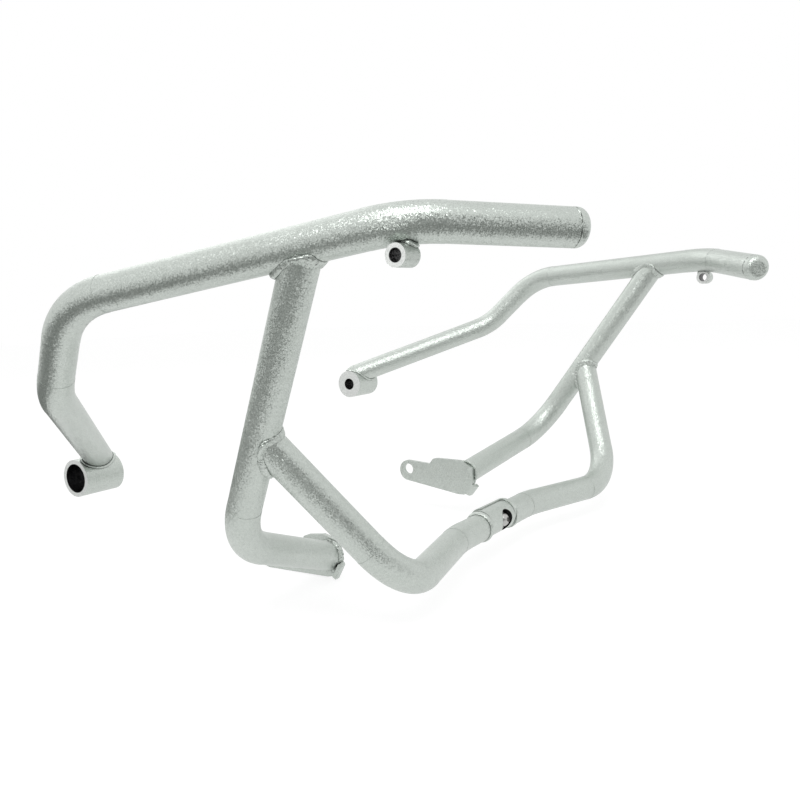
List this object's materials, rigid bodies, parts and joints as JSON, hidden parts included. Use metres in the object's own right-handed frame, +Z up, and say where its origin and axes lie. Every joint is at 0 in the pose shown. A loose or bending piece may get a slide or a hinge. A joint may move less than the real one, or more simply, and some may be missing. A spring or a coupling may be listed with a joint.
{
  "type": "motorcycle crash bars",
  "caption": "Pair of welded, bent-tube engine crash bars for a motorcycle, joined at the front by a bolted half-lap coupling.",
  "frame": {"origin": "bottom centre of the pair's bounding box, as it stands when set down", "axes": "+X forward along the motorcycle, +Y to the rider's left, +Z up"},
  "size_m": [0.528, 0.703, 0.2968],
  "materials": {
    "sparkle_coat": "silver powder coat with a fine sparkle and a slight green cast",
    "weld_bead": "the same silver coat over hand-laid weld beads",
    "plated_steel": "zinc-plated fastener steel, satin"
  },
  "bodies": {
    "root": {"right_upper_tube": "sparkle_coat", "right_upper_cap": "sparkle_coat", "right_cap_weld": "weld_bead", "right_strut_tube": "sparkle_coat", "right_cross_tube": "sparkle_coat", "right_coupling_lug": "sparkle_coat", "right_rear_sleeve": "sparkle_coat", "right_accessory_boss": "sparkle_coat", "right_lower_plate": "sparkle_coat", "right_strut_weld": "weld_bead", "right_cross_weld": "weld_bead", "right_sleeve_weld": "weld_bead", "right_boss_weld": "weld_bead", "right_plate_weld": "weld_bead", "right_lug_weld": "weld_bead", "left_upper_tube": "sparkle_coat", "left_upper_cap": "sparkle_coat", "left_cap_weld": "weld_bead", "left_strut_tube": "sparkle_coat", "left_cross_tube": "sparkle_coat", "left_coupling_lug": "sparkle_coat", "left_rear_sleeve": "sparkle_coat", "left_accessory_boss": "sparkle_coat", "left_lower_plate": "sparkle_coat", "left_strut_weld": "weld_bead", "left_cross_weld": "weld_bead", "left_sleeve_weld": "weld_bead", "left_boss_weld": "weld_bead", "left_plate_weld": "weld_bead", "left_lug_weld": "weld_bead", "coupling_screw": "plated_steel", "coupling_washer": "plated_steel"}
  },
  "joints": []
}
